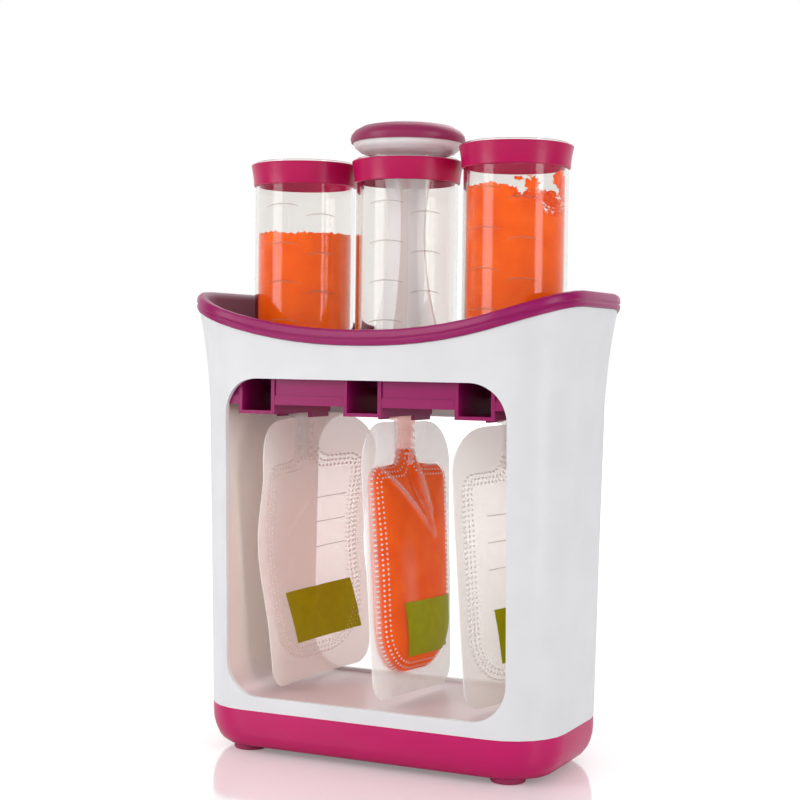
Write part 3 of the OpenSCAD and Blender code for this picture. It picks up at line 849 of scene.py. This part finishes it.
        def corner(row: int, column: int) -> int:
            """The index of a grid point, which is added once."""
            key = (row, column)
            if key not in index:
                index[key] = len(shape.points)
                depth = min(max(thickness(row, column), 0.0) * 2, 1.0) * 0.9 * MM
                angle = math.radians(splash.at_deg) + column * self.cell / self._radius
                height = splash.height + row * self.cell
                shape.points.append(self._on_wall(self._radius - depth, angle, height))
            return index[key]

        for row, column in itertools.product(range(-rows, rows), range(-columns, columns)):
            if thickness(row, column) > 0:
                shape.faces.append((corner(row, column), corner(row, column + 1),
                                    corner(row + 1, column + 1), corner(row + 1, column)))


@dataclass(frozen=True)
class Fold:
    """A crease in a pouch's film, from one point to another, as (across, up) in millimetres."""

    start: tuple[float, float]
    end: tuple[float, float]
    height: float
    width: float

    def rise(self, across: float, up: float) -> float:
        """How far the crease lifts the film at a point.

        Args:
            across: the place across the pouch, in metres.
            up: the place up from its top edge, in metres.

        Returns:
            The lift in metres.
        """
        x, y = across / MM - self.start[0], up / MM - self.start[1]
        dx, dy = self.end[0] - self.start[0], self.end[1] - self.start[1]
        share = min(max((x * dx + y * dy) / (dx * dx + dy * dy), 0.0), 1.0)
        away = math.hypot(x - dx * share, y - dy * share)
        along = 0.35 + 0.65 * math.sin(math.pi * min(share + 0.15, 1))
        return self.height * MM * bell(away, self.width) * along


@dataclass
class Pouch:
    """A hanging pouch: two layers of film welded round a bottle-shaped chamber.

    Points on it are given as (across, up) in metres: across its width, away from the front window,
    and up from the middle of its top edge.
    """

    wardrobe: Wardrobe
    place: Place
    turn_deg: float
    swing_deg: float
    curl: float
    depth: float
    filled: bool = False
    lean: float = 0.0
    flare: float = 0.0
    belly: float = 0.0
    tilt_deg: float = 0.0
    label_left: float = -16 * MM
    label_right: float = 31 * MM
    label_lean: float = 4.5 * MM
    scale_left: float = -19 * MM
    folds: tuple[Fold, ...] = ()
    half_width: float = 40 * MM
    height: float = 127.5 * MM
    taper: float = 0.15
    shoulder: float = 21 * MM
    corner: float = 10 * MM
    weld: float = 0.3 * MM
    chamber_half: float = 34.5 * MM
    chamber_top: float = -20.5 * MM
    chamber_foot: float = -117.5 * MM
    chamber_foot_round: float = 23 * MM
    chamber_top_round: float = 8 * MM
    neck_half: float = 7 * MM
    neck_half_tall: float = 24 * MM
    neck_above: float = 6 * MM
    neck_round: float = 3 * MM
    neck_blend: float = 10 * MM
    fill_top: float = -13 * MM
    label_foot: float = -109 * MM
    label_top: float = -83.5 * MM
    label_lift: float = 0.1 * MM
    scale_lines: tuple[float, ...] = (-40.5 * MM, -52.7 * MM, -65 * MM)
    scale_right: float = 24 * MM
    scale_half: float = 0.22 * MM
    scale_lift: float = 0.08 * MM
    dots_top: float = -14.5 * MM
    dot_rows: int = 4
    dot_row_gap: float = 2.3 * MM
    dot_inset: float = 0.4 * MM
    dot_pitch: float = 2.35 * MM
    dot_radius: float = 0.55 * MM
    dot_height: float = 0.16 * MM
    dot_foot: float = 0.03 * MM
    dot_sides: int = 7
    rows: int = 128
    columns: int = 88

    def build(self) -> None:
        """Models the film, its weld dots and its print, and dresses the spout."""
        finishes = self.wardrobe.finishes
        self.wardrobe.dress(self.place.node("spout"), finishes.stained if self.filled else finishes.frosted)
        spout_low, spout_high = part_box(self.place.node("spout"))
        pouch_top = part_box(self.place.node("pouch"))[1].z
        axis = (spout_low + spout_high) / 2
        self._place = (Matrix.Translation((axis.x, axis.y, pouch_top))
                       @ Matrix.Rotation(math.radians(self.turn_deg), 4, "Z")
                       @ Matrix.Rotation(math.radians(-self.swing_deg), 4, "Y")
                       @ Matrix.Rotation(math.radians(self.tilt_deg), 4, "X"))
        self._add_film()
        self._add_dots()
        self._add_label()
        if not self.filled:
            self._add_scale()
        log.info("hung pouch %s", self.place.value)

    def _keep(self, piece: bpy.types.Object) -> None:
        """Makes a piece swivel with the pouch."""
        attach(piece, self.place.body("pouch"))

    def _edge(self, up: float) -> float:
        """The film's half width at a height.

        Args:
            up: the height.

        Returns:
            The half width in metres.
        """
        top, foot = 0.0, -self.height
        half = self.half_width
        if up > top - self.shoulder:
            rise = up - (top - self.shoulder)
            half += math.sqrt(max(self.shoulder ** 2 - rise ** 2, 0)) - self.shoulder
        if up < foot + self.corner:
            drop = foot + self.corner - up
            half += math.sqrt(max(self.corner ** 2 - drop ** 2, 0)) - self.corner
        return half * (1 + self.taper * up / self.height)

    def _chamber(self, across: float, up: float) -> float:
        """How deep inside the chamber a point lies.

        Args:
            across: the place across the pouch.
            up: the place up from its top edge.

        Returns:
            The depth in metres. It is negative outside.
        """
        middle = (self.chamber_top + self.chamber_foot) / 2
        half_height = (self.chamber_top - self.chamber_foot) / 2
        radius = self.chamber_foot_round if up < middle else self.chamber_top_round
        half = self.chamber_half * (1 + self.taper * up / self.height)
        body = self._rounded_box(across, up - middle, half, half_height, radius)
        neck = self._rounded_box(across, up - (self.chamber_top + self.neck_above),
                                 self.neck_half, self.neck_half_tall, self.neck_round)
        blend = self.neck_blend
        share = min(max(0.5 + 0.5 * (neck - body) / blend, 0), 1)
        return -(neck + (body - neck) * share - blend * share * (1 - share))

    @staticmethod
    def _rounded_box(x: float, y: float, half_x: float, half_y: float, radius: float) -> float:
        """The distance to a rounded box's edge, negative inside it."""
        dx, dy = abs(x) - half_x + radius, abs(y) - half_y + radius
        return math.hypot(max(dx, 0), max(dy, 0)) + min(max(dx, dy), 0) - radius

    def _swell(self, across: float, up: float) -> float:
        """Half of the pouch's thickness at a point.

        Args:
            across: the place across the pouch.
            up: the place up from its top edge.

        Returns:
            Half of the thickness in metres.
        """
        inside = self._chamber(across, up)
        share = min(max(inside / (26 * MM), 0), 1)
        full = math.sqrt(1 - (1 - share) ** 2)
        slack = 0.55 + 0.45 * smoothstep(0, -70 * MM, up)
        thick = self.weld + self.depth / 2 * full * slack
        return thick + self._creases(across, up) * min(1.0, max(inside, 0) / (6 * MM))

    def _creases(self, across: float, up: float) -> float:
        """The height of the folds in the film at a point."""
        wave = ripple(across * 30, up * 21, self.turn_deg, 3) * 0.7 * MM
        return wave + sum(fold.rise(across, up) for fold in self.folds)

    def _bend(self, across: float, up: float) -> float:
        """How far the whole pouch curls out of its plane at a point.

        Args:
            across: the place across the pouch.
            up: the place up from its top edge.

        Returns:
            The distance in metres.
        """
        curl = self.curl * (1 + self.flare * smoothstep(-55 * MM, -5 * MM, up))
        lean = self.lean * (1 - self.belly * bell(up + 64 * MM, 24 * MM))
        whole = curl * (across / self.half_width) ** 2 + lean * smoothstep(-2 * MM, -30 * MM, up)
        return 0.7 * MM * ripple(across * 9, up * 12, self.turn_deg, 2) - whole

    def point(self, across: float, up: float, layer: float, lift: float = 0.0) -> Vector:
        """A point on the film.

        Args:
            across: the place across the pouch.
            up: the place up from its top edge.
            layer: 1 for the layer at the photograph's left, -1 for the other, 0 for the middle.
            lift: how far the point stands off the film.

        Returns:
            The point in the row frame.
        """
        out = self._bend(across, up) + layer * (self._swell(across, up) + lift)
        return self._place @ Vector((across, out, up))

    def _row_height(self, row: int) -> float:
        """The height of a row of points, close together at the rounded corners."""
        share = row / (self.rows - 1)
        return -self.height * (share - 0.055 * math.sin(2 * math.pi * share) * 1.6)

    def _add_film(self) -> None:
        """Makes both layers as one closed mesh."""
        shape = Shape()
        ring = 2 * self.columns

        def skin(row: int, column: int) -> Vector:
            """A point of a row that runs round the pouch."""
            front = column < self.columns
            step = column if front else ring - 1 - column
            share = -math.cos(math.pi * step / (self.columns - 1))
            up = self._row_height(row)
            across = share * self._edge(up)
            inside = self._chamber(across, up)
            welded = 1 - smoothstep(-1 * MM, 2 * MM, inside)
            edge = 1 - smoothstep(0.3 * MM, 2.2 * MM, self._edge(up) - abs(across))
            # Painted highlight: the film is made whiter along the folds, partly where it lifts off the puree
            # and partly standing in for the light on the crease.
            creased = sum(max(fold.rise(across, up), 0) for fold in self.folds) / MM
            shape.milk_and_highlight.append(min(1.3, welded + 0.4 * edge + 0.45 * creased))
            return self.point(across, up, 1 if front else -1)

        shape.grid(self.rows, ring, skin, closed=True)
        for row, order in ((0, 1), (self.rows - 1, -1)):
            start = row * ring
            for c in range(self.columns - 1):
                face = (start + c, start + c + 1, start + ring - 2 - c, start + ring - 1 - c)
                shape.faces.append(face[::order])
        finishes = self.wardrobe.finishes
        film = shape.make(f"film_{self.place.value}", finishes.filled_film if self.filled else finishes.film)
        self._keep(film)
        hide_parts(self.place.node("pouch"))
        if self.filled:
            self._add_fill()

    def _add_fill(self) -> None:
        """Makes the puree that fills the chamber."""
        shape = Shape()
        rows, columns = 90, 96
        foot, top = self.chamber_foot + 1.0 * MM, self.fill_top

        def skin(row: int, column: int) -> Vector:
            """A point of a row that runs round the puree."""
            share = row / (rows - 1)
            up = foot + (top - foot) * share
            angle = 2 * math.pi * column / columns
            reach = max(self._reach(up, 0.4 * MM, 18), 0.3 * MM)
            across = reach * math.cos(angle)
            shell = max(self._swell(across, up) - 0.45 * MM, 0.1 * MM)
            side = math.sin(angle)
            out = self._bend(across, up) + shell * math.copysign(abs(side) ** 0.25, side)
            return self._place @ Vector((across, out, up))

        shape.grid(rows, columns, skin, closed=True)
        last = (rows - 1) * columns
        shape.cap([last + c for c in range(columns)], self.point(0, top, 0))
        shape.cap(list(reversed(range(columns))), self.point(0, foot, 0))
        self._keep(shape.make("puree_in_pouch", self.wardrobe.finishes.puree))

    def _reach(self, up: float, inset: float, halvings: int) -> float:
        """Half of the chamber's width at a height, found by halving.

        Args:
            up: the height.
            inset: how far inside the chamber's edge the point lies.
            halvings: how often the stretch is halved.

        Returns:
            The distance from the pouch's middle line.
        """
        low, high = 0.0, self.half_width
        for _ in range(halvings):
            middle = (low + high) / 2
            if self._chamber(middle, up) > inset:
                low = middle
            else:
                high = middle
        return low

    def _outline(self, inset: float) -> list[tuple[float, float]]:
        """Points round the chamber's edge, from the neck down and up again.

        Args:
            inset: how far the points are drawn in.

        Returns:
            The points as (across, up).
        """
        right = []
        up = self.dots_top
        while up > self.chamber_foot - 4 * MM and self._chamber(0, up) >= inset:
            right.append((self._reach(up, inset, 16), up))
            up -= 0.25 * MM
        return right + [(-x, y) for x, y in reversed(right)]

    def _add_dots(self) -> None:
        """Adds the rows of small weld dots round the chamber, on both layers."""
        shape = Shape()
        pitch = self.dot_pitch
        for number in range(self.dot_rows):
            path = self._outline(self.dot_row_gap * number + self.dot_inset)
            walked = pitch * (number % 2) / 2
            for (x0, y0), (x1, y1) in zip(path, path[1:]):
                length = math.hypot(x1 - x0, y1 - y0)
                while walked <= length and length > 0:
                    share = walked / length
                    x, y = x0 + (x1 - x0) * share, y0 + (y1 - y0) * share
                    for layer in (1, -1):
                        self._dot(shape, x, y, layer)
                    walked += pitch
                walked -= length
        if self.filled:
            for row, step in itertools.product(range(4), range(-2, 3)):
                self._dot(shape, (step + 0.5 * (row % 2)) * pitch, -(13 + 2 * row) * MM, -1)
        self._keep(shape.make(f"weld_dots_{self.place.value}", self.wardrobe.finishes.dots))

    def _dot(self, shape: Shape, across: float, up: float, layer: int) -> None:
        """Adds one dot, a low cone with its foot on the film.

        Args:
            shape: the dots' mesh.
            across: the dot's place across the pouch.
            up: its place up from the top edge.
            layer: the film's layer, 1 or -1.
        """
        start, sides = len(shape.points), self.dot_sides
        for k in range(sides):
            angle = 2 * math.pi * k / sides
            shape.points.append(self.point(across + self.dot_radius * math.cos(angle),
                                           up + self.dot_radius * math.sin(angle), layer, self.dot_foot))
        shape.points.append(self.point(across, up, layer, self.dot_height))
        for k in range(sides):
            face = (start + k, start + (k + 1) % sides, start + sides)
            shape.faces.append(face if layer < 0 else face[::-1])

    def _patch(self, shape: Shape, left: float, right: float, foot: float, top: float,
               lift: float, lean: float = 0.0, columns: int = 14, rows: int = 10) -> None:
        """Adds a thin patch that follows the film's front layer.

        Args:
            shape: the patch's mesh.
            left: its left edge.
            right: its right edge.
            foot: its lower edge.
            top: its upper edge.
            lift: how far it stands off the film.
            lean: how far its foot lies to the right of its top.
            columns: how many points it has across.
            rows: how many points it has up.
        """
        def spot(row: int, column: int) -> Vector:
            """A point of the patch."""
            share = row / (rows - 1)
            across = left + (right - left) * column / (columns - 1) + lean * (1 - share)
            return self.point(across, foot + (top - foot) * share, -1, lift)

        shape.grid(rows, columns, spot)

    def _add_label(self) -> None:
        """Adds the bare olive label near the foot."""
        shape = Shape()
        self._patch(shape, self.label_left, self.label_right, self.label_foot, self.label_top,
                    self.label_lift, self.label_lean, columns=30, rows=18)
        self._keep(shape.make(f"label_{self.place.value}", self.wardrobe.finishes.label))

    def _add_scale(self) -> None:
        """Adds the plain volume lines above the label."""
        shape = Shape()
        for up in self.scale_lines:
            self._patch(shape, self.scale_left, self.scale_right, up - self.scale_half, up + self.scale_half,
                        self.scale_lift, columns=24, rows=2)
        self._keep(shape.make(f"scale_{self.place.value}", self.wardrobe.finishes.scale))


# ---- Camera, floor and light ----


@dataclass
class Camera:
    """The photograph's camera, in millimetres and degrees, for a square picture of 800 pixels."""

    turn: float = 25.715
    distance: float = 774.159
    height: float = 189.279
    aside: float = -2.239
    pitch: float = 1.669
    roll: float = 0.728
    focal_pixels: float = 1639.236
    picture_pixels: float = 800.0
    sensor: float = 36.0

    def build(self) -> None:
        """Makes the scene's camera."""
        turn, pitch, roll = (math.radians(a) for a in (self.turn, self.pitch, self.roll))
        level = Vector((math.cos(turn), math.sin(turn), 0))
        away = Vector((math.sin(turn), -math.cos(turn), 0))
        place = away * self.distance + level * self.aside + Vector((0, 0, self.height))
        forward = -away * math.cos(pitch) - Vector((0, 0, math.sin(pitch)))
        upright = level.cross(forward)
        right = level * math.cos(roll) + upright * math.sin(roll)
        up = upright * math.cos(roll) - level * math.sin(roll)
        data = bpy.data.cameras.new("camera")
        data.sensor_width = self.sensor
        data.lens = self.focal_pixels * self.sensor / self.picture_pixels
        data.clip_start, data.clip_end = 0.05, 30
        made = bpy.data.objects.new("camera", data)
        bpy.context.scene.collection.objects.link(made)
        made.matrix_world = Matrix((
            (right.x, up.x, -forward.x, place.x * MM),
            (right.y, up.y, -forward.y, place.y * MM),
            (right.z, up.z, -forward.z, place.z * MM),
            (0, 0, 0, 1),
        ))
        bpy.context.scene.camera = made


@dataclass
class Studio:
    """A white glossy floor, soft lamps and a white surround."""

    floor_half: float = 6.0
    floor_boost: float = 0.36
    floor_gloss: float = 0.42
    surround: float = 0.52
    front_gloss: float = 0.04
    back_way: Point = (-0.434, 0.901, 0.0)

    def build(self) -> None:
        """Makes the floor, the surround and the lamps."""
        self._floor()
        self._surround()
        self._lamp("key", (-1.03, -1.23, 0.75), (0.75, 1.5), 13)
        self._lamp("side", (1.55, -0.39, 0.62), (0.5, 1.4), 9)
        self._lamp("front", (0.5, -1.9, 1.3), (1.2, 0.8), 4)
        self._lamp("back", (-0.2, 1.3, 1.2), (1.0, 1.0), 5)
        bpy.context.scene.view_settings.view_transform = "Standard"

    def _floor(self) -> None:
        """Makes the floor, which shows white where no shadow or reflection falls."""
        shape = Shape()
        half = self.floor_half
        shape.grid(2, 2, lambda r, c: Vector(((2 * c - 1) * half, (2 * r - 1) * half, 0)))
        recipe = Recipe("floor_white")
        recipe.set(Base_Color=(0.92, 0.92, 0.92, 1), Roughness=0.6, Specular_IOR_Level=0.0,
                   Emission_Color=(1, 1, 1, 1))
        rays = recipe.add("ShaderNodeLightPath")
        away = recipe.add("ShaderNodeVectorMath", operation="LENGTH")
        recipe.join(recipe.position(), away.inputs[0])
        boost = recipe.add("ShaderNodeMath", operation="MULTIPLY")
        recipe.join(rays.outputs["Is Camera Ray"], boost.inputs[0])
        recipe.join(recipe.between(away.outputs["Value"], 0.3, 0.8, self.floor_boost, 1.2), boost.inputs[1])
        recipe.join(boost.outputs[0], recipe.shader.inputs["Emission Strength"])
        gloss = recipe.add("ShaderNodeBsdfGlossy", Roughness=0.09)
        gloss.inputs["Color"].default_value = (1, 1, 1, 1)
        mix = recipe.add("ShaderNodeMixShader", Fac=self.floor_gloss)
        recipe.join(recipe.shader.outputs[0], mix.inputs[1])
        recipe.join(gloss.outputs[0], mix.inputs[2])
        recipe.join(mix.outputs[0], recipe.tree.nodes["Material Output"].inputs["Surface"])
        shape.make("floor", recipe.material)

    def _surround(self) -> None:
        """Makes the world: plain light, white where it is seen, and dark in front for reflections."""
        world = bpy.data.worlds.new("surround")
        bpy.context.scene.world = world
        world.use_nodes = True
        tree = world.node_tree
        back = tree.nodes["Background"]
        back.inputs["Color"].default_value = (1, 1, 1, 1)

        def blend(share: bpy.types.NodeSocket, low: object, high: object) -> bpy.types.NodeSocket:
            """Mixes two strengths, each a number or an output."""
            made = tree.nodes.new("ShaderNodeMix")
            tree.links.new(share, made.inputs["Factor"])
            for name, value in (("A", low), ("B", high)):
                if isinstance(value, float):
                    made.inputs[name].default_value = value
                else:
                    tree.links.new(value, made.inputs[name])
            return made.outputs["Result"]

        way = tree.nodes.new("ShaderNodeVectorMath")
        way.operation = "DOT_PRODUCT"
        way.inputs[1].default_value = self.back_way
        tree.links.new(tree.nodes.new("ShaderNodeTexCoord").outputs["Generated"], way.inputs[0])
        behind = tree.nodes.new("ShaderNodeMapRange")
        behind.inputs["From Min"].default_value = 0.1
        behind.inputs["From Max"].default_value = 0.5
        tree.links.new(way.outputs["Value"], behind.inputs["Value"])
        rays = tree.nodes.new("ShaderNodeLightPath")
        seen = tree.nodes.new("ShaderNodeMath")
        seen.operation = "MAXIMUM"
        tree.links.new(rays.outputs["Is Camera Ray"], seen.inputs[0])
        tree.links.new(rays.outputs["Is Transmission Ray"], seen.inputs[1])
        mirrored = blend(behind.outputs["Result"], self.front_gloss, 1.0)
        strength = blend(rays.outputs["Is Glossy Ray"], self.surround, mirrored)
        tree.links.new(blend(seen.outputs[0], strength, 1.0), back.inputs["Strength"])

    @staticmethod
    def _lamp(name: str, place: Point, size: tuple[float, float], watts: float) -> None:
        """Hangs an oblong soft lamp that faces the station.

        Args:
            name: the lamp's name.
            place: where it hangs, in metres.
            size: its width and height in metres.
            watts: its power.
        """
        data = bpy.data.lights.new(name, "AREA")
        data.shape = "RECTANGLE"
        data.size, data.size_y = size
        data.energy = watts
        made = bpy.data.objects.new(name, data)
        bpy.context.scene.collection.objects.link(made)
        made.location = place
        aim = Vector((0, 0, 0.14)) - Vector(place)
        made.rotation_euler = aim.to_track_quat("-Z", "Y").to_euler()


def main() -> None:
    """Builds the whole scene round the frame."""
    logging.basicConfig(level=logging.INFO, format="%(name)s: %(message)s")
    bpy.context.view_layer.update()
    finishes = Finishes()
    wardrobe = Wardrobe(finishes)
    Housing(wardrobe).build()
    Press(wardrobe).build()
    FillingTube(wardrobe, Place.LEFT).build()
    FillingTube(wardrobe, Place.MIDDLE).build()
    FillingTube(wardrobe, Place.RIGHT, ragged=1.3, rise=0.6 * MM, dips=((-0.17, 5.5 * MM), (0.48, 7.5 * MM)),
                marks_turn_deg=-17, splashes=(
                    Splash(-50, 264.2 * MM, 3.2 * MM, 3.8 * MM),
                    Splash(-66, 266.9 * MM, 2.2 * MM, 0.9 * MM, 0.8 * MM),
                    Splash(-73, 261.5 * MM, 2.6 * MM, 1.8 * MM, 1.0 * MM),
                    Splash(-34, 259.5 * MM, 3.4 * MM, 2.2 * MM, 1.0 * MM, 1.2),
                    Splash(-9, 267.3 * MM, 4.8 * MM, 3.8 * MM),
                    Splash(6, 262.6 * MM, 6.5 * MM, 4.4 * MM, 2.0 * MM),
                    Splash(-23, 258.2 * MM, 4.0 * MM, 3.4 * MM, 1.3 * MM, 1.2),
                    Splash(-12, 252.5 * MM, 9.0 * MM, 6.5 * MM, 0.8 * MM, 1.9, 0.62),
                    Splash(-46, 256.0 * MM, 6.0 * MM, 3.2 * MM, 0.9 * MM, 1.7, 0.5),
                    Splash(100, 262 * MM, 14 * MM, 4 * MM, 2.4 * MM, 1.2),
                )).build()
    Pouch(wardrobe, Place.LEFT, turn_deg=75, swing_deg=4.5, curl=4.5 * MM, depth=3 * MM,
          lean=2.6 * MM, flare=1.5, belly=1.3,
          label_left=-20.5 * MM, label_right=24.5 * MM, label_lean=5.5 * MM, scale_left=4 * MM, folds=(
              Fold((2, -36), (-15, -56), 1.3, 1.6),
              Fold((-2, -30), (-20, -80), -0.8, 4.0),
              Fold((8, -62), (-6, -100), 0.6, 3.0),
          )).build()
    Pouch(wardrobe, Place.MIDDLE, turn_deg=84, swing_deg=-1, curl=1 * MM, depth=18 * MM, filled=True,
          tilt_deg=-3.2, label_left=-17 * MM, label_right=27 * MM, label_lean=4 * MM, folds=(
              Fold((-24, -22), (11, -54), 1.9, 1.3),
              Fold((6, -17), (12, -54), 1.9, 1.3),
              Fold((0, -24), (9, -46), -3.2, 4.5),
              Fold((2, -30), (8, -47), 1.1, 1.0),
              Fold((-14, -60), (-10, -104), 0.4, 5.0),
          )).build()
    Pouch(wardrobe, Place.RIGHT, turn_deg=72, swing_deg=2.5, curl=-2.4 * MM, depth=3 * MM, folds=(
        Fold((-20, -60), (-8, -78), 0.8, 2.5),
        Fold((4, -34), (-4, -70), -0.6, 4.0),
    )).build()
    Camera().build()
    Studio().build()


if __name__ == "__main__":
    main()
